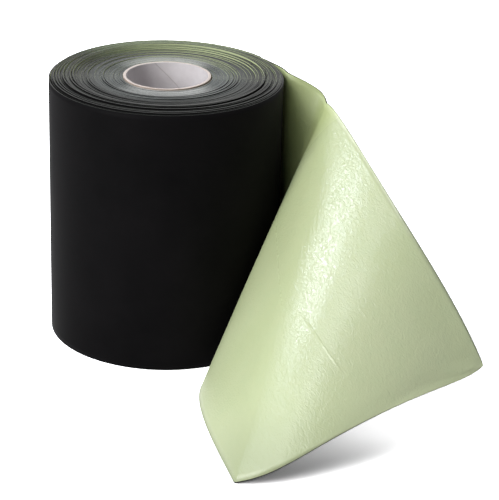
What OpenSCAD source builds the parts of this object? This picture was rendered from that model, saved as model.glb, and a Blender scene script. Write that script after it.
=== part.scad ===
// Roll of rubber roofing membrane, standing on one end with its loose end pulled out.
// The web is black rubber with a green release film on the face that is wound inwards.
// Z is up. The origin is on the roll's axis, in the plane of the floor it stands on.

/* [Web] */
// Width of the web, which is the height of the standing roll
web_w = 250; // [200:5:320]
// Thickness of the rubber
rubber_t = 1.2; // [0.8:0.1:2]
// Thickness of the release film
film_t = 0.1; // [0.05:0.01:0.3]
// How far the film stops short of the web's two long edges
film_inset = 0.4; // [0.2:0.1:3]

/* [Roll] */
// Outside diameter of the wound roll
roll_od = 219; // [180:1:270]
// Most that an outer turn stands out of line with its neighbours on the roll's ends
end_relief = 2; // [0.2:0.1:3]
// Width of the outermost turns, in line with each other, that the roll stands on
foot_band = 8; // [4:1:20]

/* [Core] */
// Bore of the core tube
core_bore = 76; // [50:1:110]
// Wall of the core tube
core_wall = 3; // [2:0.5:8]
// How far the core tube stands out of the roll's top end
core_proud = 1.6; // [0:0.1:5]
// Gap all round between the core tube and the innermost turn
core_gap = 0.05; // [0.02:0.01:0.5]

/* [Loose end] */
// Angle round the roll at which the loose end leaves it, from +X
leave_angle = 36; // [0:0.5:60]
// Length over which the loose end leaves the roll straight
leave_straight = 39; // [34:0.5:48]
// Gap between the roll's face and the start of the loose end
leave_gap = 0.3; // [0.2:0.1:1]

/* [Hidden] */

roll_r = roll_od / 2;
core_r = core_bore / 2 + core_wall;
wound_r = core_r + core_gap;
pitch = rubber_t + film_t;
turns = floor((roll_r - wound_r) / pitch);
// The turns' places across the end, stretched a little so that a whole number fills the roll
turn_t = (roll_r - wound_r) / turns;
foot_turns = ceil(foot_band / turn_t);
// Two slow waves and a quick one set how far each turn has slipped along the axis
slow_wave = 31;
slower_wave = 13;
quick_wave = 137;

// The loose end is ruled between two smooth edges. Both are drawn for this width and radius.
drawn_w = 250;
drawn_r = 109.5;
size = web_w / drawn_w;
// Guide points of the foot, from the roll to the web's end: x, y on the floor
FOOT = [[112, -21], [110, -101], [14, -108], [74, -316]];
// Guide points of the cut end, from the foot's end to the head's end: x, y, z
CUT = [[103, -324, 12], [163, -295, 40], [224, -259, 56], [273, -231, 62]];
// Guide points of the head, from the roll to the web's end: x, y, z
HEAD = [
    [109, 18, 252], [150, 15, 236], [149, -13, 224], [148, 10, 237], [200, -134, 194],
    [261, -193, 116], [282, -214, 77], [285, -217, 72], [286, -220, 68]
];
// Rulings between one guide point and the next
steps = 8;
// The head's last corner is worn off where the rulings get shorter than this
corner_cut = 4;

rubber_black = [0.10, 0.10, 0.11];
film_green = [0.78, 0.84, 0.68];
card_buff = [0.80, 0.73, 0.64];

// ---- the roll ----

// How far turn i has slipped up the roll; the outermost turns stand on the floor
function slip(i) =
    i >= turns - foot_turns ? 0 :
    end_relief * i / turns * max(0, 0.35 * sin(i * slow_wave) + 0.3 * sin(i * slower_wave)
        + 0.35 * sin(i * quick_wave));

function turn_r(i) = wound_r + i * turn_t;

module wound_web() {
    top = [for (i = [0 : turns - 1]) each [
        [turn_r(i), web_w + slip(i)], [turn_r(i + 1), web_w + slip(i)]
    ]];
    bottom = [for (i = [turns - 1 : -1 : 0]) each [
        [turn_r(i + 1), slip(i)], [turn_r(i), slip(i)]
    ]];
    rotate_extrude($fn = 180)
        polygon(concat(top, bottom));
}

module core_tube() {
    color(card_buff)
    rotate_extrude($fn = 120)
        translate([core_bore / 2, 0])
        square([core_wall, web_w + core_proud]);
}

// ---- the loose end ----

function unit(v) = v / norm(v);

// A guide point, moved in or out so that it keeps its distance off the roll's face
function off_roll(g) =
    let(r = norm([g[0], g[1]]), scale = (roll_r + (r - drawn_r) * size) / r)
    [g[0] * scale, g[1] * scale, len(g) > 2 ? g[2] * size : 0];

rubber_mid_r = roll_r - rubber_t / 2;
leave_dir = [sin(leave_angle), -cos(leave_angle), 0];
leave_foot = [rubber_mid_r * cos(leave_angle), rubber_mid_r * sin(leave_angle), 0];
leave_head = leave_foot + [0, 0, web_w];
lead = leave_straight * leave_dir;

head_guides = concat(
    [leave_head, leave_head + lead],
    [for (g = HEAD) off_roll(g)]
);
foot_guides = concat(
    [leave_foot, leave_foot + lead],
    [for (g = FOOT) off_roll(g)]
);
cut_guides = concat(
    [foot_guides[len(foot_guides) - 1]],
    [for (g = CUT) off_roll(g)],
    [head_guides[len(head_guides) - 1]]
);

// The smooth curve that starts at the first guide point, ends at the last and bends towards
// the rest: a uniform cubic B-spline
function guide(g, i) =
    i < 0 ? 2 * g[0] - g[1] :
    i >= len(g) ? 2 * g[len(g) - 1] - g[len(g) - 2] :
    g[i];

function curve(g, u) =
    let(k = min(floor(u), len(g) - 2), t = u - k)
    (pow(1 - t, 3) * guide(g, k - 1) + (3 * pow(t, 3) - 6 * t * t + 4) * guide(g, k)
        + (-3 * pow(t, 3) + 3 * t * t + 3 * t + 1) * guide(g, k + 1)
        + pow(t, 3) * guide(g, k + 2)) / 6;

foot_u = len(foot_guides) - 1;
head_u = len(head_guides) - 1;

function head_at(u) = curve(head_guides, u);
function low_at(u) = u <= foot_u ? curve(foot_guides, u) : curve(cut_guides, u - foot_u);

// The way out of the black face on ruling u, a part t of the way from its foot to its head.
// The head turns sharply at the fold's point, so close to it the way is taken a little below.
function out_at(u, t) =
    let(d = 0.02, a = max(u - d, 0), b = min(u + d, head_u), s = min(t, 0.92),
        low_way = low_at(b) - low_at(a), head_way = head_at(b) - head_at(a))
    unit(cross(head_at(u) - low_at(u), (1 - s) * low_way + s * head_way));

// The rulings drawn: from the first whose inner face is clear of the roll to the worn corner
least_r = roll_r + leave_gap + film_t + rubber_t / 2;
starts = [for (i = [1 : 4 * steps])
    let(low = low_at(i / steps / 2))
    if (norm([low[0], low[1]]) > least_r) i / steps / 2];
drawn = concat(
    [starts[0]],
    [for (i = [ceil(starts[0] * steps + 0.5) : head_u * steps])
        let(u = i / steps)
        if (norm(head_at(u) - low_at(u)) > corner_cut) u]
);

// Where points stand across a ruling: the web's edge, the film's edge, evenly on to the other side
columns = 8;
function place(j, edge) =
    j == 0 ? 0 :
    j == columns + 1 ? 1 :
    edge + (j - 1) * (1 - 2 * edge) / (columns - 1);

// The points across ruling u, offset to one face and lifted so that the web's foot is on the floor
function lift(u) =
    max(0, rubber_t / 2 * abs(out_at(u, 0)[2]) - low_at(u)[2]);

function across(u, offset) =
    let(low = low_at(u), head = head_at(u), edge = film_inset / norm(head - low))
    [for (j = [0 : columns + 1])
        let(t = place(j, edge))
        low + t * (head - low) + offset * out_at(u, t) + [0, 0, lift(u)]];

// A closed sheet between two offsets from the rubber's middle, from point a to point b across
module sheet(outer, inner, a, b) {
    n = b - a + 1;
    ring = 2 * n;
    points = [for (u = drawn)
        let(out_row = across(u, outer), in_row = across(u, inner))
        each concat([for (j = [a : b]) out_row[j]], [for (j = [b : -1 : a]) in_row[j]])];
    last = (len(drawn) - 1) * ring;
    // Both faces are split along the same diagonals, so the sheet keeps its thickness
    sides = [for (k = [0 : len(drawn) - 2]) for (j = [0 : ring - 1])
        let(p = k * ring + j, q = k * ring + (j + 1) % ring)
        each j < n
            ? [[p, q + ring, q], [p, p + ring, q + ring]]
            : [[p, p + ring, q], [q, p + ring, q + ring]]];
    caps = [for (j = [0 : n - 2]) each [
        [j, j + 1, ring - 2 - j, ring - 1 - j],
        [last + j, last + ring - 1 - j, last + ring - 2 - j, last + j + 1]
    ]];
    polyhedron(points, concat(sides, caps));
}

module membrane() {
    color(rubber_black) {
        wound_web();
        sheet(rubber_t / 2, -rubber_t / 2, 0, columns + 1);
    }
}

module release_film() {
    color(film_green)
    sheet(-rubber_t / 2, -rubber_t / 2 - film_t, 1, columns);
}

core_tube();
membrane();
release_film();
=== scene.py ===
"""Roll of rubber roofing membrane, standing on one end with its loose end pulled out.

The web is black rubber with a green release film on the face that is wound inwards.
Metres throughout. The origin is on the roll's axis, on the floor; Z is up.
"""
import math
from types import SimpleNamespace

import bmesh
import bpy
from mathutils import Matrix, Vector, noise


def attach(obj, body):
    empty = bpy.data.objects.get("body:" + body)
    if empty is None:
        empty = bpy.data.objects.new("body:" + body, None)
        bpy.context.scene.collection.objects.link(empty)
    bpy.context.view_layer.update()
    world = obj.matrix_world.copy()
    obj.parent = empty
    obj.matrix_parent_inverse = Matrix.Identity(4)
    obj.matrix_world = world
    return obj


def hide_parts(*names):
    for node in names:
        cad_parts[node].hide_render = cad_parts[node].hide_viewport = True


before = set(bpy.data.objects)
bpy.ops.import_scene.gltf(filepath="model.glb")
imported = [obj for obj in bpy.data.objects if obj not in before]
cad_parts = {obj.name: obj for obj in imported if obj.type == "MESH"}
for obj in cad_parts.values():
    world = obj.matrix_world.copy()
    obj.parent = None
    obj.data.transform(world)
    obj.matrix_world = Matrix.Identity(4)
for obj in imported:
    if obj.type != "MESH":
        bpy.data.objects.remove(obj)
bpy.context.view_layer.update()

# ---------------------------------------------------------------------------
# Sizes
# ---------------------------------------------------------------------------

WEB_WIDTH = 0.250
RUBBER = 0.0012
FILM = 0.0001
PITCH = RUBBER + FILM
ROLL_RADIUS = 0.1095
# The film is slit narrower than the rubber, by this much at each edge. Between the wound
# turns it comes closer to the edge, and shows there as fine green lines
FILM_INSET = 0.0004
WOUND_FILM_INSET = 0.00015

CORE_BORE_RADIUS = 0.038
CORE_RADIUS = 0.041
CORE_TOP = 0.2516
RIM_SOFTNESS = 0.0005
RIM_WEAR = 0.00025
# The helical joint in the core's liner: its climb in a full turn, and where it starts, as
# a share of a turn
JOINT_CLIMB = 0.250
JOINT_START = 0.198

# The wound rubber is drawn a little thinner than it is, so that its turns don't touch,
# and the first turn of film is clear of the core
WOUND_RUBBER = RUBBER * 0.97
CORE_CLEARANCE = 0.00001
# The most that a turn has slipped along the axis, and the pattern that the slips follow
SLIP = 0.0036
SLIP_SEED = 4.3
# The roll is slack on this side: its last turn stands off, and the one under it has
# settled inwards
SLACK_BEARING = math.radians(197)
LAST_TURN_STANDS_OFF = 0.0010
TURN_UNDER_SETTLES = 0.0004

# Where the web leaves the roll: the radius of the rubber's middle, the bearing,
# and how far the web then runs straight
LEAVE_RADIUS = ROLL_RADIUS - RUBBER / 2
LEAVE_ANGLE = math.radians(36)
LEAVE_STRAIGHT = 0.039

# The last turn and the loose end together, laid out flat, and how far along them the valley runs,
# from the roll to the fold; there the film is painted a deeper green, as painted shade
VALLEY_FROM = 0.63
VALLEY_TO = 0.81
# The crease in the loose end: its middle along and across the web, its slant and size
CREASE_PLACE = (1.016, 0.127)
CREASE_TURN = math.radians(4)
CREASE_LENGTH = 0.080
CREASE_HALF_WIDTH = 0.0016

# Guide points of the loose end in millimetres, as the part's source has them.
# Foot, from the roll to the web's end; it lies on the floor
FOOT = ((112, -21, 0), (110, -101, 0), (14, -108, 0), (74, -316, 0))
# Cut end, from the foot's end to the head's end
CUT = ((103, -324, 12), (163, -295, 40), (224, -259, 56), (273, -231, 62))
# Head, from the roll to the web's end
HEAD = ((109, 18, 252), (150, 15, 236), (149, -13, 224), (148, 10, 237), (200, -134, 194),
        (261, -193, 116), (282, -214, 77), (285, -217, 72), (286, -220, 68))

# The map on the loose end's sheets, in metres along and across the web
WEB_MAP = "Web"

# How finely the meshes are drawn: steps round each wound turn, rulings in the last turn
# and between two guide points, columns across the web, and steps round the core
SPIRAL_STEPS = 104
TURN_STEPS = 120
SHEET_STEPS = 20
COLUMNS = 44
CORE_STEPS = 144

# ---------------------------------------------------------------------------
# Colours, in linear light
# ---------------------------------------------------------------------------

RUBBER_BLACK = (0.0036, 0.0034, 0.0037)
RUBBER_TALCED = (0.0066, 0.0060, 0.0066)

EDGE_BLACK = (0.012, 0.012, 0.011)
EDGE_CLEAN = (0.025, 0.028, 0.024)
EDGE_DUSTY = (0.178, 0.198, 0.190)
# Painted sheen on the slit edges beside the core
EDGE_PAINTED_SHEEN = (0.56, 0.57, 0.545)
EDGE_FILM_SMEAR = (0.170, 0.212, 0.125)

FILM_DEEP = (0.545, 0.622, 0.338)
FILM_PALE = (0.586, 0.652, 0.380)
FILM_MOTTLE = (0.520, 0.622, 0.355)
# A darker green, towards the corner that lies on the floor
FILM_DARK_AT_FOOT_CORNER = (0.430, 0.490, 0.275)
# Painted shade: the film's deeper green in the valley between the roll and the fold
FILM_PAINTED_VALLEY_SHADE = (0.535, 0.622, 0.258)

LINER_DARK = (0.60, 0.565, 0.57)
LINER_PALE = (0.66, 0.63, 0.635)
LINER_JOINT = (0.33, 0.30, 0.29)
RIM_DARK = (0.64, 0.55, 0.49)
RIM_PALE = (0.78, 0.70, 0.65)
# Brown soiling on the core's rim, and painted shade at its outer corner
RIM_SOIL_AND_SHADE = (0.25, 0.185, 0.145)

WHITE = (1, 1, 1)
COOL_WHITE = (0.80, 0.86, 1)
# Above 1, the floor is whiter to the camera than paint could be
FLOOR_UNDER_LIGHT = (0.6, 0.6, 0.6)
FLOOR_AS_SEEN = (3.2, 3.2, 3.2)


# ---------------------------------------------------------------------------
# Node helpers
# ---------------------------------------------------------------------------

def add(tree, kind, label, links=None, **settings):
    """A node with its properties set, and its inputs linked or set by name or number."""
    node = tree.nodes.new(kind)
    node.label = label
    for name, value in settings.items():
        setattr(node, name, value)
    for name, value in (links or {}).items():
        socket = node.inputs[name]
        if isinstance(value, bpy.types.NodeSocket):
            tree.links.new(value, socket)
        else:
            socket.default_value = value
    return node


def work_out(tree, kind, *values):
    """The result of one Math node."""
    links = dict(enumerate(values))
    return add(tree, "ShaderNodeMath", kind.title(), links, operation=kind).outputs[0]


def plus(tree, first, second):
    return work_out(tree, "ADD", first, second)


def minus(tree, first, second):
    return work_out(tree, "SUBTRACT", first, second)


def times(tree, first, second):
    return work_out(tree, "MULTIPLY", first, second)


def unsigned(tree, value):
    """value without its sign."""
    return work_out(tree, "ABSOLUTE", value)


def stretch(tree, value, low, high, new_low=0.0, new_high=1.0, smooth=False):
    """value, moved from one range to another and held inside it."""
    node = add(tree, "ShaderNodeMapRange", "Range", {
        "Value": value, "From Min": low, "From Max": high,
        "To Min": new_low, "To Max": new_high})
    if smooth:
        node.interpolation_type = "SMOOTHSTEP"
    return node.outputs["Result"]


def grain(tree, place, scale, detail=2.0, roughness=0.5, distortion=0.0):
    """Noise over a surface, from 0 to 1."""
    return add(tree, "ShaderNodeTexNoise", "Grain", {
        "Vector": place, "Scale": scale, "Detail": detail,
        "Roughness": roughness, "Distortion": distortion}).outputs[0]


def wander(tree, label, value, scale, detail):
    """Noise along a single value, such as a radius or a count of turns, from 0 to 1."""
    return add(tree, "ShaderNodeTexNoise", label,
               {"W": value, "Scale": scale, "Detail": detail},
               noise_dimensions="1D").outputs[0]


# ---------------------------------------------------------------------------
# Finishes
# ---------------------------------------------------------------------------

def finish_tree(name):
    """A new material, its node tree and its shader."""
    material = bpy.data.materials.new(name)
    material.use_nodes = True
    tree = material.node_tree
    tree.nodes.clear()
    shader = tree.nodes.new("ShaderNodeBsdfPrincipled")
    out = tree.nodes.new("ShaderNodeOutputMaterial")
    tree.links.new(shader.outputs["BSDF"], out.inputs["Surface"])
    return material, tree, shader


def blend_colours(tree, share, first, second):
    """first where share is 0 and second where it is 1; each is a colour or a socket."""
    node = add(tree, "ShaderNodeMix", "Colours", {"Factor": share}, data_type="RGBA")
    for socket, value in ((node.inputs[6], first), (node.inputs[7], second)):
        if isinstance(value, bpy.types.NodeSocket):
            tree.links.new(value, socket)
        else:
            socket.default_value = (*value, 1.0)
    return node.outputs[2]


def raise_grain(tree, shader, height, depth, strength=1.0):
    """Give the shader a relief of this height, where 1 stands depth metres proud."""
    bump = add(tree, "ShaderNodeBump", "Relief", {
        "Height": height, "Strength": strength, "Distance": depth})
    tree.links.new(bump.outputs["Normal"], shader.inputs["Normal"])


def about_the_axis(tree, place):
    """A point's distance from the roll's axis, its bearing and its height."""
    x, y, z = add(tree, "ShaderNodeSeparateXYZ", "Place", {"Vector": place}).outputs
    away = work_out(tree, "SQRT", plus(tree, times(tree, x, x), times(tree, y, y)))
    return away, work_out(tree, "ARCTAN2", y, x), z


def make_rubber():
    """Calendered black rubber: matt, with a fine even grain and faint smears of talc."""
    material, tree, shader = finish_tree("black_rubber")
    place = tree.nodes.new("ShaderNodeTexCoord").outputs["Object"]
    smear = grain(tree, place, scale=14.0, detail=4.0, roughness=0.6)
    fine = grain(tree, place, scale=1400.0)
    colour = blend_colours(tree, stretch(tree, smear, 0.35, 0.7), RUBBER_BLACK, RUBBER_TALCED)
    tree.links.new(colour, shader.inputs["Base Color"])
    tree.links.new(stretch(tree, smear, 0.3, 0.7, 0.50, 0.60), shader.inputs["Roughness"])
    shader.inputs["Specular IOR Level"].default_value = 0.03
    raise_grain(tree, shader, fine, depth=0.00012, strength=0.5)
    return material


def make_cut_rubber():
    """The web's slit edge: grey from dust and the knife, in rings that differ a little, with a
    painted sheen beside the core.
    """
    material, tree, shader = finish_tree("slit_rubber_edge")
    place = tree.nodes.new("ShaderNodeTexCoord").outputs["Object"]
    away, bearing, _ = about_the_axis(tree, place)
    turn = add(tree, "ShaderNodeAttribute", "Turn", attribute_name="turn").outputs["Fac"]
    rings = wander(tree, "Rings", turn, scale=0.9, detail=2.0)
    cloud = grain(tree, place, scale=22.0, detail=3.0, roughness=0.6)

    # Dusty near the core and cleaner further out
    dusty = blend_colours(tree, stretch(tree, away, 0.045, 0.086, smooth=True),
                          EDGE_DUSTY, EDGE_CLEAN)
    tone = times(tree, stretch(tree, rings, 0.3, 0.7, 0.35, 1.0),
                 stretch(tree, cloud, 0.3, 0.7, 0.5, 1.0))
    colour = blend_colours(tree, tone, EDGE_BLACK, dusty)

    # Painted sheen: silvery beside the core at the front and back, a painted highlight of the
    # lamps off the knife rings
    facing_front = work_out(tree, "COSINE", minus(tree, bearing, math.radians(-87)))
    beside_core = stretch(tree, away, 0.046, 0.068, 1.0, 0.0, smooth=True)
    painted_sheen = times(tree, stretch(tree, unsigned(tree, facing_front), 0.45, 0.97, smooth=True),
                   beside_core)
    painted_sheen = times(tree, painted_sheen, stretch(tree, cloud, 0.3, 0.6, 0.6, 1.0))
    colour = blend_colours(tree, painted_sheen, colour, EDGE_PAINTED_SHEEN)

    # Film smeared over the cut, at the back of the outer turns
    smeared = times(tree, stretch(tree, facing_front, -0.50, -0.95, smooth=True),
                    stretch(tree, away, 0.070, 0.098, smooth=True))
    colour = blend_colours(tree, smeared, colour, EDGE_FILM_SMEAR)
    tree.links.new(colour, shader.inputs["Base Color"])
    tree.links.new(stretch(tree, rings, 0.3, 0.7, 0.26, 0.40), shader.inputs["Roughness"])
    shader.inputs["Specular IOR Level"].default_value = 0.11

    # The knife leaves fine rings, deepest near the core
    knife = times(tree, wander(tree, "Knife rings", away, scale=2600.0, detail=2.0),
                  stretch(tree, away, 0.052, 0.066, 2.2, 0.8))
    height = plus(tree, knife, times(tree, grain(tree, place, scale=900.0), 0.5))
    raise_grain(tree, shader, height, depth=0.00012)
    return material


def crease(tree, dx, dy):
    """A ridge, from 0 to 1, that slants across the web and fades out at its ends.

    dx and dy are a point's distances from the ridge's middle, along and across the web.
    """
    cos, sin = math.cos(CREASE_TURN), math.sin(CREASE_TURN)
    along = unsigned(tree, plus(tree, times(tree, dx, cos), times(tree, dy, sin)))
    beside = unsigned(tree, minus(tree, times(tree, dy, cos), times(tree, dx, sin)))
    return times(tree, stretch(tree, beside, 0.0, CREASE_HALF_WIDTH, 1.0, 0.0, smooth=True),
                 stretch(tree, along, CREASE_LENGTH * 0.3, CREASE_LENGTH * 0.5,
                         1.0, 0.0, smooth=True))


def make_film():
    """Satin polyethylene film, pressed into the leathery grain of the rubber under it.

    It follows the web's own map, in metres along and across the web. The wound film has
    no map, so all of it takes the tint and the dullness of the web's first corner.
    """
    material, tree, shader = finish_tree("green_release_film")
    web = add(tree, "ShaderNodeUVMap", "Along and across the web",
              uv_map=WEB_MAP).outputs["UV"]
    along_web, across_web, _ = add(tree, "ShaderNodeSeparateXYZ", "Web", {"Vector": web}).outputs
    cloud = grain(tree, web, scale=9.0, detail=3.0, roughness=0.55)
    mottle = grain(tree, web, scale=90.0, detail=3.0, roughness=0.6, distortion=0.4)
    tint = blend_colours(tree, stretch(tree, cloud, 0.35, 0.65), FILM_DEEP, FILM_PALE)
    colour = blend_colours(tree, stretch(tree, mottle, 0.40, 0.75, 0.0, 0.3),
                           tint, FILM_MOTTLE)

    # The leathery grain runs along the web
    drawn_out = add(tree, "ShaderNodeMapping", "Drawn out along the web",
                    {"Vector": web, "Scale": (0.6, 1.0, 1.0)}).outputs[0]
    wrinkle = grain(tree, drawn_out, scale=370.0, roughness=0.55, distortion=1.3)
    fine = grain(tree, web, scale=900.0, roughness=0.6)
    dx = minus(tree, along_web, CREASE_PLACE[0])
    dy = minus(tree, across_web, CREASE_PLACE[1])
    height = plus(tree, wrinkle, times(tree, fine, 0.25))
    height = plus(tree, height, times(tree, crease(tree, dx, dy), 0.55))

    # Scuffed duller towards the foot, and before the fold
    towards_foot = stretch(tree, plus(tree, dy, times(tree, dx, 0.35)),
                           -0.060, -0.005, 1.0, 0.0, smooth=True)
    before_fold = stretch(tree, along_web, VALLEY_TO - 0.015, VALLEY_TO + 0.015, 1.0, 0.0,
                          smooth=True)
    scuffed = work_out(tree, "MAXIMUM", times(tree, towards_foot, 0.18),
                       times(tree, before_fold, 0.30))

    # Darker towards the corner that lies on the floor
    darker_at_corner = stretch(tree, minus(tree, dx, times(tree, dy, 0.6)), 0.055, 0.150, smooth=True)
    colour = blend_colours(tree, darker_at_corner, colour, FILM_DARK_AT_FOOT_CORNER)
    # Painted shade: between the roll and the fold the film is painted a deeper, more saturated
    # green, as it looks in the valley's bounced light
    painted_valley_shade = times(tree, before_fold,
                  stretch(tree, along_web, VALLEY_FROM - 0.03, VALLEY_FROM + 0.03, 0.0, 0.8))
    colour = blend_colours(tree, painted_valley_shade, colour, FILM_PAINTED_VALLEY_SHADE)

    tree.links.new(colour, shader.inputs["Base Color"])
    rough = plus(tree, stretch(tree, mottle, 0.3, 0.7, 0.17, 0.19), scuffed)
    tree.links.new(rough, shader.inputs["Roughness"])
    shader.inputs["Specular IOR Level"].default_value = 0.86
    raise_grain(tree, shader, height, depth=0.00035)
    return material


def make_board():
    """Spirally wound paperboard: buff at the rim, pinkish grey liner in the bore."""
    material, tree, shader = finish_tree("core_board")
    place = tree.nodes.new("ShaderNodeTexCoord").outputs["Object"]
    away, bearing, height = about_the_axis(tree, place)
    fibre = grain(tree, place, scale=60.0, detail=4.0, roughness=0.65)
    fine = grain(tree, place, scale=700.0, detail=3.0, roughness=0.6)

    # A point's share of a turn, counted from opposite the joint: the joint is at a half
    climb = minus(tree, work_out(tree, "DIVIDE", bearing, math.tau),
                  work_out(tree, "DIVIDE", height, JOINT_CLIMB))
    share = work_out(tree, "FRACT", plus(tree, climb, JOINT_START))
    joint = stretch(tree, unsigned(tree, minus(tree, share, 0.5)), 0.0, 0.005, 1.0, 0.0,
                    smooth=True)
    liner = blend_colours(tree, stretch(tree, fibre, 0.35, 0.65), LINER_DARK, LINER_PALE)
    liner = blend_colours(tree, times(tree, joint, 0.45), liner, LINER_JOINT)

    # Painted shade: a thin brown line at the rim's outer corner, for the shadowed gap beside the
    # wound turns; and soiled brown here and there across it
    rim = blend_colours(tree, stretch(tree, fine, 0.35, 0.65), RIM_DARK, RIM_PALE)
    worn = grain(tree, place, scale=95.0, detail=3.0, roughness=0.6)
    soil_and_gap_shade = work_out(
        tree, "MAXIMUM",
        stretch(tree, away, CORE_RADIUS - 0.0006, CORE_RADIUS, 0.0, 0.75, smooth=True),
        stretch(tree, worn, 0.58, 0.76, 0.0, 0.45, smooth=True))
    rim = blend_colours(tree, soil_and_gap_shade, rim, RIM_SOIL_AND_SHADE)

    on_rim = stretch(tree, away, CORE_BORE_RADIUS + 0.0001, CORE_BORE_RADIUS + 0.0004)
    tree.links.new(blend_colours(tree, on_rim, liner, rim), shader.inputs["Base Color"])
    shader.inputs["Roughness"].default_value = 0.82
    shader.inputs["Specular IOR Level"].default_value = 0.25
    relief = minus(tree, times(tree, fine, 0.3), joint)
    raise_grain(tree, shader, relief, depth=0.0002, strength=0.8)
    return material


rubber_finish = make_rubber()
cut_finish = make_cut_rubber()
film_finish = make_film()
board_finish = make_board()


# ---------------------------------------------------------------------------
# Objects
# ---------------------------------------------------------------------------

def put_in_scene(name, data):
    """A new object with this mesh, lamp or camera."""
    thing = bpy.data.objects.new(name, data)
    bpy.context.scene.collection.objects.link(thing)
    return thing


def finished_piece(name, mesh, finishes):
    """A piece from a closed bmesh, with its faces turned outwards."""
    bmesh.ops.recalc_face_normals(mesh, faces=mesh.faces)
    data = bpy.data.meshes.new(name)
    mesh.to_mesh(data)
    mesh.free()
    for finish in finishes:
        data.materials.append(finish)
    return put_in_scene(name, data)


# ---------------------------------------------------------------------------
# The wound turns
# ---------------------------------------------------------------------------

def slipped(tree, turn, left, size):
    """How far each turn has slipped along the axis: up to Slip, from 0."""
    count = plus(tree, turn, size["Seed"])
    quick = wander(tree, "Slip of each turn", count, scale=0.83, detail=1.0)
    slow = wander(tree, "Slip of a band of turns", count, scale=0.11, detail=0.0)
    # Turns stand high and low by turns, in a beat that drifts round the roll
    beat = work_out(tree, "SINE", plus(tree, times(tree, turn, math.tau * 0.46),
                                       times(tree, slow, 9.0)))
    noises = plus(tree, minus(tree, quick, 0.5), times(tree, minus(tree, slow, 0.5), 0.5))
    both = plus(tree, times(tree, beat, 0.16), noises)
    # The outer third of the roll has slipped most and the turns by the core least,
    # and it grows less again, down to a half, over the last few turns
    share = work_out(tree, "DIVIDE", turn, size["Turns"])
    band = plus(tree, stretch(tree, share, 0.15, 0.35, 0.14, 0.42, smooth=True),
                stretch(tree, share, 0.61, 0.66, 0.0, 0.58, smooth=True))
    outermost = stretch(tree, left, 0.5, 3.0, 0.5, 1.0)
    most = times(tree, times(tree, band, outermost), size["Slip"])
    return times(tree, stretch(tree, both, -0.35, 0.35), most)


def spiral_line(tree, size):
    """The strip's middle as a line of points, from the core outwards, with its turn number."""
    last = work_out(tree, "ROUND", times(tree, size["Turns"], size["Steps a turn"]))
    line = add(tree, "GeometryNodeMeshLine", "One point a step",
               {"Count": plus(tree, last, 1.0)}).outputs["Mesh"]
    index = tree.nodes.new("GeometryNodeInputIndex").outputs[0]
    turn = times(tree, work_out(tree, "DIVIDE", index, last), size["Turns"])
    left = minus(tree, size["Turns"], turn)
    bearing = plus(tree, size["Last angle"], times(tree, left, math.tau))

    # The outermost of these turns has settled inwards on one side
    side = work_out(tree, "COSINE", minus(tree, bearing, size["Slack bearing"]))
    side = work_out(tree, "POWER", work_out(tree, "MAXIMUM", side, 0.0), 6.0)
    slack = times(tree, side, stretch(tree, left, 0.0, 1.2, 1.0, 0.0))
    radius = plus(tree, size["First radius"], times(tree, turn, size["Pitch"]))
    radius = minus(tree, radius, times(tree, slack, size["Settling"]))

    place = add(tree, "ShaderNodeCombineXYZ", "Place of the strip's middle", {
        "X": times(tree, radius, work_out(tree, "COSINE", bearing)),
        "Y": times(tree, radius, work_out(tree, "SINE", bearing)),
        "Z": plus(tree, size["Middle height"], slipped(tree, turn, left, size))}).outputs[0]
    line = add(tree, "GeometryNodeSetPosition", "Wind it up",
               {"Geometry": line, "Position": place}).outputs[0]
    return add(tree, "GeometryNodeStoreNamedAttribute", "Turn number",
               {"Geometry": line, "Name": "turn", "Value": turn},
               data_type="FLOAT", domain="POINT").outputs[0]


def wound_strip_tree():
    """A strip wound in a spiral on end, each turn slipped a little along the axis."""
    tree = bpy.data.node_groups.new("Wound strip", "GeometryNodeTree")
    for name, kind in (
            ("First radius", "Float"), ("Pitch", "Float"), ("Turns", "Float"),
            ("Last angle", "Float"), ("Steps a turn", "Int"), ("Thickness", "Float"),
            ("Width", "Float"), ("Middle height", "Float"), ("Slip", "Float"),
            ("Slack bearing", "Float"), ("Settling", "Float"), ("Seed", "Float"),
            ("Face finish", "Material"), ("Edge finish", "Material")):
        tree.interface.new_socket(name=name, in_out="INPUT", socket_type="NodeSocket" + kind)
    tree.interface.new_socket(name="Strip", in_out="OUTPUT", socket_type="NodeSocketGeometry")
    size = tree.nodes.new("NodeGroupInput").outputs

    spiral = add(tree, "GeometryNodeMeshToCurve", "Spiral",
                 {"Mesh": spiral_line(tree, size)}).outputs[0]
    spiral = add(tree, "GeometryNodeSetCurveNormal", "Keep the strip upright",
                 {"Curve": spiral}, mode="Z_UP").outputs[0]
    section = add(tree, "GeometryNodeCurvePrimitiveQuadrilateral", "Section",
                  {"Width": size["Thickness"], "Height": size["Width"]}, mode="RECTANGLE")
    strip = add(tree, "GeometryNodeCurveToMesh", "Strip", {
        "Curve": spiral, "Profile Curve": section.outputs["Curve"],
        "Fill Caps": True}).outputs[0]
    strip = add(tree, "GeometryNodeSetShadeSmooth", "Flat",
                {"Geometry": strip, "Shade Smooth": False}).outputs[0]
    strip = add(tree, "GeometryNodeRealizeInstances", "Realize", {"Geometry": strip}).outputs[0]
    strip = add(tree, "GeometryNodeSetMaterial", "Faces",
                {"Geometry": strip, "Material": size["Face finish"]}).outputs[0]
    normal = tree.nodes.new("GeometryNodeInputNormal").outputs[0]
    upright = add(tree, "ShaderNodeSeparateXYZ", "Normal", {"Vector": normal}).outputs[2]
    is_edge = work_out(tree, "GREATER_THAN", unsigned(tree, upright), 0.7)
    strip = add(tree, "GeometryNodeSetMaterial", "Slit edges", {
        "Geometry": strip, "Selection": is_edge, "Material": size["Edge finish"]}).outputs[0]
    out = tree.nodes.new("NodeGroupOutput")
    tree.links.new(strip, out.inputs["Strip"])
    return tree


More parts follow.
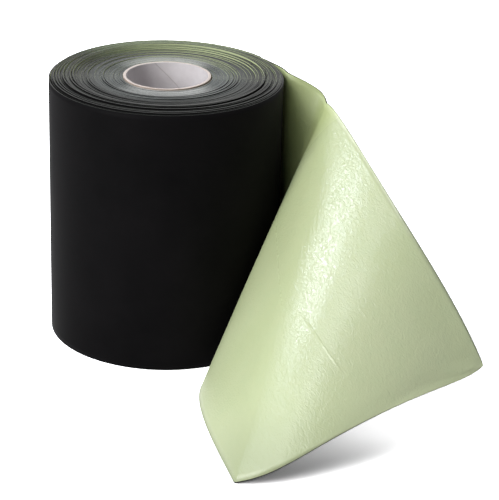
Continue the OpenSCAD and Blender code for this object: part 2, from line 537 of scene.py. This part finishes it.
def grow(name, tree, values):
    """The mesh that a Geometry Nodes tree makes with these inputs, as a plain object."""
    piece = put_in_scene(name, bpy.data.meshes.new(name))
    modifier = piece.modifiers.new("Nodes", "NODES")
    modifier.node_group = tree
    for item in tree.interface.items_tree:
        if item.in_out == "INPUT":
            modifier[item.identifier] = values[item.name]
    grown = piece.evaluated_get(bpy.context.evaluated_depsgraph_get())
    mesh = bpy.data.meshes.new_from_object(grown)
    piece.modifiers.remove(modifier)
    piece.data = mesh
    mesh.name = name
    return piece


# The web's last turn is drawn with the loose end, so the wound strip ends one turn before
first_rubber_radius = CORE_RADIUS + FILM + RUBBER / 2
wound_turns = (LEAVE_RADIUS - PITCH - first_rubber_radius) / PITCH
both_strips = {
    "Pitch": PITCH, "Turns": wound_turns, "Last angle": LEAVE_ANGLE,
    "Steps a turn": SPIRAL_STEPS, "Middle height": WEB_WIDTH / 2, "Slip": SLIP,
    "Slack bearing": SLACK_BEARING, "Settling": TURN_UNDER_SETTLES, "Seed": SLIP_SEED,
}
strip_tree = wound_strip_tree()
wound_rubber = grow("wound_rubber", strip_tree, {
    **both_strips, "First radius": first_rubber_radius, "Thickness": WOUND_RUBBER,
    "Width": WEB_WIDTH, "Face finish": rubber_finish, "Edge finish": cut_finish})
wound_film = grow("wound_film", strip_tree, {
    **both_strips, "First radius": CORE_RADIUS + FILM / 2 + CORE_CLEARANCE,
    "Thickness": FILM, "Width": WEB_WIDTH - 2 * WOUND_FILM_INSET,
    "Face finish": film_finish, "Edge finish": film_finish})


# ---------------------------------------------------------------------------
# The last turn and the loose end
# ---------------------------------------------------------------------------

def guides(points):
    """Guide points given in millimetres, in metres."""
    return [Vector(p) / 1000 for p in points]


leave = Vector((LEAVE_RADIUS * math.cos(LEAVE_ANGLE), LEAVE_RADIUS * math.sin(LEAVE_ANGLE), 0))
straight = LEAVE_STRAIGHT * Vector((math.sin(LEAVE_ANGLE), -math.cos(LEAVE_ANGLE), 0))
top = Vector((0, 0, WEB_WIDTH))
foot_guides = [leave, leave + straight] + guides(FOOT)
head_guides = [leave + top, leave + straight + top] + guides(HEAD)
cut_guides = [foot_guides[-1]] + guides(CUT) + [head_guides[-1]]
# Rulings are counted in guide points. These are the one at the foot's end, the one at the
# head's end, and the one at the head of the fold
foot_end = len(foot_guides) - 1
head_end = len(head_guides) - 1
fold_head = 4.3


def within(value, low=0.0, high=1.0):
    """value, kept between low and high."""
    return min(max(value, low), high)


def curve(points, u):
    """A uniform cubic B-spline that starts at the first guide point and ends at the last.

    u is counted in guide points from the first.
    """
    k = min(int(math.floor(u)), len(points) - 2)
    t = u - k

    def guide(i):
        if i < 0:
            return 2 * points[0] - points[1]
        if i >= len(points):
            return 2 * points[-1] - points[-2]
        return points[i]

    return ((1 - t) ** 3 * guide(k - 1) + (3 * t ** 3 - 6 * t * t + 4) * guide(k)
            + (-3 * t ** 3 + 3 * t * t + 3 * t + 1) * guide(k + 1)
            + t ** 3 * guide(k + 2)) / 6


def rule_ends(u):
    """The foot and the head of the ruling at u. Below 0 it is on the roll, in turns."""
    if u < 0:
        bearing = LEAVE_ANGLE - u * math.tau
        side = max(math.cos(bearing - SLACK_BEARING), 0.0) ** 6
        r = LEAVE_RADIUS + u * PITCH + LAST_TURN_STANDS_OFF * side
        foot = Vector((r * math.cos(bearing), r * math.sin(bearing), 0))
        return foot, foot + top
    foot = curve(foot_guides, u) if u <= foot_end else curve(cut_guides, u - foot_end)
    return foot, curve(head_guides, u)


def ruling_length(u):
    foot, head = rule_ends(u)
    return (head - foot).length


def web_point(u, t):
    """A point in the middle of the rubber, and the way out of its black face."""
    step = 0.02 if u > 0 else 0.002
    before = rule_ends(u if 0 <= u <= step else u - step)
    after = rule_ends(min(u + step, head_end))
    foot, head = rule_ends(u)
    # The head turns sharply at the fold's point, so close to it the way is taken a little below
    s = min(t, 0.92)
    way = (1 - s) * (after[0] - before[0]) + s * (after[1] - before[1])
    out = (head - foot).cross(way)
    out.normalize()
    return foot.lerp(head, t), out


def ripple(u, t):
    """The soft unevenness of the loose end, in metres out of its black face.

    It sets in where the web has left the roll.
    """
    free = within((u - 0.8) / 0.8)
    slow = noise.noise(Vector((u * 0.9, t * 2.2, 3.1))) * 0.0009
    quick = noise.noise(Vector((u * 3.1, t * 7.0, 8.7))) * 0.0001
    return free * (slow + quick)


# Rulings of the last turn and of the loose end, up to where they shrink to a point
stations = [-1 + i / TURN_STEPS for i in range(TURN_STEPS)]
stations += [i / SHEET_STEPS for i in range(int(head_end * SHEET_STEPS))
             if ruling_length(i / SHEET_STEPS) > 0.003]


def ease(rows, middle, span, reach, share_at):
    """Round off the sheet about one ruling, where the guide curves bend it too sharply.

    Places are averaged over a length along the web, by a share that falls off from the
    ruling at middle, over span on both sides of it, and is share_at(t) across the web.
    """
    for j in range(COLUMNS + 1):
        line = [row[j] for row in rows]
        run = [0.0]
        for one, two in zip(line, line[1:]):
            run.append(run[-1] + (two.place - one.place).length)
        moved = []
        for i, spot in enumerate(line):
            share = within(1.0 - abs(spot.u - middle) / span)
            share = share * share * (3 - 2 * share) * share_at(spot.t)
            if share <= 0.0 or i in (0, len(line) - 1):
                moved.append(spot.place)
                continue
            total, weight = Vector(), 0.0
            for k in range(1, len(line) - 1):
                away = abs(run[k] - run[i])
                if away < 3 * reach:
                    w = math.exp(-(away / reach) ** 2) * (run[k + 1] - run[k - 1])
                    total += w * line[k].place
                    weight += w
            moved.append(spot.place.lerp(total / weight, share))
        for spot, place in zip(line, moved):
            spot.place = place
    for i in range(1, len(rows) - 1):
        for j, spot in enumerate(rows[i]):
            if abs(spot.u - middle) < span and share_at(spot.t) > 0.0:
                up = rows[i][min(j + 1, COLUMNS)].place - rows[i][max(j - 1, 0)].place
                on = rows[i + 1][j].place - rows[i - 1][j].place
                out = up.cross(on)
                if out.length > 1e-9:
                    spot.out = out.normalized()


def web_rows(inset):
    """The spots of the sheet's middle, ruling by ruling, inset at the web's long edges.

    Each has its place, the way out of the black face, its ruling u and share t of it,
    and where it lies in the flat web.
    """
    rows = []
    # How far along the foot, the cut end and the head the ruling stands in the flat web
    along_foot, along_cut, along_head = 0.0, 0.0, 0.0
    last_foot, last_head = rule_ends(stations[0])
    for u in stations:
        foot, head = rule_ends(u)
        if u <= foot_end:
            along_foot += (foot - last_foot).length
        else:
            along_cut += (foot - last_foot).length
        along_head += (head - last_head).length
        last_foot, last_head = foot, head
        edge = min(inset / (head - foot).length, 0.3)
        # Where the sheet leans at the floor, half of its thickness would be under it
        lift = max(0.0, RUBBER / 2 * abs(web_point(u, 0.0)[1].z) - foot.z)
        row = []
        for j in range(COLUMNS + 1):
            t = edge + (1 - 2 * edge) * j / COLUMNS
            point, out = web_point(u, t)
            place = point + Vector((0, 0, lift)) + out * ripple(u, t)
            flat = (along_foot + t * (along_head - along_foot),
                    along_cut + t * (WEB_WIDTH - along_cut))
            row.append(SimpleNamespace(place=place, out=out, u=u, t=t, flat=flat))
        rows.append(row)
    # At the foot's corner, and at the head of the fold
    ease(rows, foot_end, span=1.1, reach=0.016, share_at=lambda t: min(t / 0.12, 1.0))
    ease(rows, fold_head, span=1.2, reach=0.008, share_at=lambda t: within((t - 0.76) / 0.2))
    return rows


def web_mesh(name, outer, inner, inset, finishes):
    """A closed sheet between two offsets from the rubber's middle, with its map in metres.

    finishes are that of its two faces and that of its edges.
    """
    mesh = bmesh.new()
    web_map = mesh.loops.layers.uv.new(WEB_MAP)
    # Of each spot its outer and its inner corner, as a vertex and its place in the map
    corners = [[[(mesh.verts.new(spot.place + spot.out * offset), spot.flat)
                 for offset in (outer, inner)] for spot in row] for row in web_rows(inset)]

    def face(ring, finish, smooth):
        made = mesh.faces.new([vert for vert, _ in ring])
        made.material_index = finish
        made.smooth = smooth
        for loop, (_, flat) in zip(made.loops, ring):
            loop[web_map].uv = flat

    def edge_face(one, two, turned):
        ring = [one[0], one[1], two[1], two[0]]
        face(ring[::-1] if turned else ring, 1, False)

    for row, following in zip(corners, corners[1:]):
        for j in range(COLUMNS):
            a, b, c, d = row[j], row[j + 1], following[j + 1], following[j]
            face([a[0], d[0], c[0], b[0]], 0, True)
            face([a[1], b[1], c[1], d[1]], 0, True)
        edge_face(row[0], following[0], False)
        edge_face(row[COLUMNS], following[COLUMNS], True)
    for row, turned in ((corners[0], True), (corners[-1], False)):
        for j in range(COLUMNS):
            edge_face(row[j], row[j + 1], turned)
    return finished_piece(name, mesh, finishes)


loose_end = web_mesh("loose_end", RUBBER / 2, -RUBBER / 2, 0.0, (rubber_finish, cut_finish))
loose_film = web_mesh("loose_end_film", -RUBBER / 2, -RUBBER / 2 - FILM, FILM_INSET,
                      (film_finish, film_finish))


# ---------------------------------------------------------------------------
# The core tube
# ---------------------------------------------------------------------------

def core_outline():
    """The tube wall's section, as radius and height, with its four corners rounded."""
    outline = []
    for radius, height, start in (
            (CORE_RADIUS, 0.0, -90), (CORE_RADIUS, CORE_TOP, 0),
            (CORE_BORE_RADIUS, CORE_TOP, 90), (CORE_BORE_RADIUS, 0.0, 180)):
        centre_r = radius + (RIM_SOFTNESS if radius < CORE_RADIUS else -RIM_SOFTNESS)
        centre_z = height + (RIM_SOFTNESS if height < CORE_TOP else -RIM_SOFTNESS)
        for k in range(4):
            a = math.radians(start + k * 30)
            outline.append((centre_r + RIM_SOFTNESS * math.cos(a),
                            centre_z + RIM_SOFTNESS * math.sin(a)))
    return outline


def core_mesh():
    """The board tube, turned, with softened rims, the upper one slightly worn."""
    outline = core_outline()
    mesh = bmesh.new()
    rings = []
    for i in range(CORE_STEPS):
        a = math.tau * i / CORE_STEPS
        ring = []
        for r, z in outline:
            if z > CORE_TOP / 2:
                z += RIM_WEAR * noise.noise(Vector((math.cos(a) * 6, math.sin(a) * 6, r * 300)))
            ring.append(mesh.verts.new((r * math.cos(a), r * math.sin(a), z)))
        rings.append(ring)
    for one, two in zip(rings, rings[1:] + rings[:1]):
        for j in range(len(outline)):
            k = (j + 1) % len(outline)
            mesh.faces.new((one[j], two[j], two[k], one[k])).smooth = True
    return finished_piece("core", mesh, (board_finish,))


core = core_mesh()

# ---------------------------------------------------------------------------
# What each piece stands for
# ---------------------------------------------------------------------------

for piece, node, slot in (
        (core, "core_tube", "core_board"), (wound_rubber, "membrane", "rubber"),
        (loose_end, "membrane", "rubber"), (wound_film, "release_film", "film"),
        (loose_film, "release_film", "film")):
    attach(piece, "root")
    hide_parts(node)


# ---------------------------------------------------------------------------
# Floor, light and camera
# ---------------------------------------------------------------------------

# Just under the part, so that the two don't share a plane
FLOOR_DROP = 0.0002
FLOOR_SIZE = 14.0
# The lamps stand at this distance from a point in the middle of the part
LAMP_DISTANCE = 2.2
LAMP_AIM = Vector((0.06, -0.08, 0.12))
CAMERA_DISTANCE = 2.0
CAMERA_AIM = Vector((0.08094, 0.0, 0.07717))
CAMERA_ELEVATION = math.radians(23.25)
CAMERA_TILT = math.radians(1.584)
FOCAL_LENGTH_MM = 149.72


def background_rays(tree):
    """The rays that show the background: straight from the camera, and by way of a surface."""
    rays = tree.nodes.new("ShaderNodeLightPath").outputs
    mirrored = work_out(tree, "MAXIMUM", rays["Is Glossy Ray"], rays["Is Transmission Ray"])
    return rays["Is Camera Ray"], mirrored


def make_floor_paint():
    """A pale floor that shows white, but for the object's shadow."""
    material = bpy.data.materials.new("studio_floor")
    material.use_nodes = True
    tree = material.node_tree
    tree.nodes.clear()
    direct, mirrored = background_rays(tree)
    # Whiter when seen than as a light on the object, so that only the shadow is darker than white
    white = blend_colours(tree, direct, FLOOR_UNDER_LIGHT, FLOOR_AS_SEEN)
    diffuse = add(tree, "ShaderNodeBsdfDiffuse", "Floor", {"Color": white})
    # Far from the lamps it is white by itself
    place = tree.nodes.new("ShaderNodeTexCoord").outputs["Object"]
    far = add(tree, "ShaderNodeVectorMath", "Far off", {0: place}, operation="LENGTH").outputs[1]
    pale = times(tree, direct, stretch(tree, far, 0.7, 2.2, 0.09, 1.0, smooth=True))
    glow = add(tree, "ShaderNodeEmission", "Pale when seen", {
        "Color": (*WHITE, 1),
        "Strength": work_out(tree, "MULTIPLY_ADD", mirrored, 0.65, pale)})
    both = add(tree, "ShaderNodeAddShader", "Both", {0: diffuse.outputs[0], 1: glow.outputs[0]})
    out = tree.nodes.new("ShaderNodeOutputMaterial")
    tree.links.new(both.outputs[0], out.inputs["Surface"])
    return material


def lay_floor():
    """A flat floor."""
    data = bpy.data.meshes.new("floor")
    h = FLOOR_SIZE / 2
    data.from_pydata([(-h, -h, 0), (h, -h, 0), (h, h, 0), (-h, h, 0)], [], [(0, 1, 2, 3)])
    data.materials.append(make_floor_paint())
    floor = put_in_scene("floor", data)
    floor.location.z = -FLOOR_DROP


def light_world():
    """A faint fill on the object, and a white background where it is seen."""
    world = bpy.data.worlds.new("studio")
    bpy.context.scene.world = world
    world.use_nodes = True
    tree = world.node_tree
    tree.nodes.clear()
    seen = work_out(tree, "MAXIMUM", *background_rays(tree))
    sky = add(tree, "ShaderNodeBackground", "Fill", {
        "Color": (*WHITE, 1), "Strength": stretch(tree, seen, 0.0, 1.0, 0.02, 1.0)})
    out = tree.nodes.new("ShaderNodeOutputWorld")
    tree.links.new(sky.outputs[0], out.inputs["Surface"])


def softbox(name, turn, height, size, watts, long_side=None, colour=WHITE):
    """A square lamp that faces the part, at these angles in degrees round it and above it.

    long_side, where it is given, is the lamp's length and the way that it runs, and size
    is then its width.
    """
    lamp = bpy.data.lights.new(name, "AREA")
    lamp.shape = "RECTANGLE"
    lamp.size = lamp.size_y = size
    lamp.energy = watts
    lamp.color = colour
    turn, height = math.radians(turn), math.radians(height)
    back = Vector((math.cos(turn) * math.cos(height), math.sin(turn) * math.cos(height),
                   math.sin(height)))
    across = Vector((0, 0, 1)).cross(back)
    if long_side:
        lamp.size, across = long_side[0], Vector(long_side[1])
        across -= across.dot(back) * back
    across.normalize()
    facing = Matrix((across, back.cross(across), back)).transposed()
    place = Matrix.Translation(LAMP_AIM + LAMP_DISTANCE * back)
    box = put_in_scene(name, lamp)
    box.matrix_world = place @ facing.to_4x4()


def set_up_camera():
    """The camera looks along +Y and down, and is tilted a little about its own axis."""
    forward = Vector((0, math.cos(CAMERA_ELEVATION), -math.sin(CAMERA_ELEVATION)))
    level = Vector((1, 0, 0))
    plumb = level.cross(forward)
    cos, sin = math.cos(CAMERA_TILT), math.sin(CAMERA_TILT)
    right, up = cos * level + sin * plumb, cos * plumb - sin * level
    data = bpy.data.cameras.new("camera")
    data.sensor_width = 36.0
    data.lens = FOCAL_LENGTH_MM
    data.clip_end = 50.0
    camera = put_in_scene("camera", data)
    turned = Matrix((right, up, -forward)).transposed().to_4x4()
    camera.matrix_world = Matrix.Translation(CAMERA_AIM - CAMERA_DISTANCE * forward) @ turned
    bpy.context.scene.camera = camera


lay_floor()
light_world()
softbox("front left low", 222, 21, 1.0, 28.5)
softbox("front left high", 222, 48, 1.0, 17)
# The two lamps whose reflections run down the loose end
softbox("back left strip", 165, 53, 0.15, 8, (0.60, (0.17, -0.27, 0.13)), COOL_WHITE)
softbox("overhead strip", 216, 71, 0.20, 2.8, (0.80, (0.32, -0.23, 0.05)), COOL_WHITE)
softbox("back", 90, 50, 1.0, 13)
softbox("back right", 45, 50, 1.0, 11)
set_up_camera()
bpy.context.scene.view_settings.view_transform = "Standard"
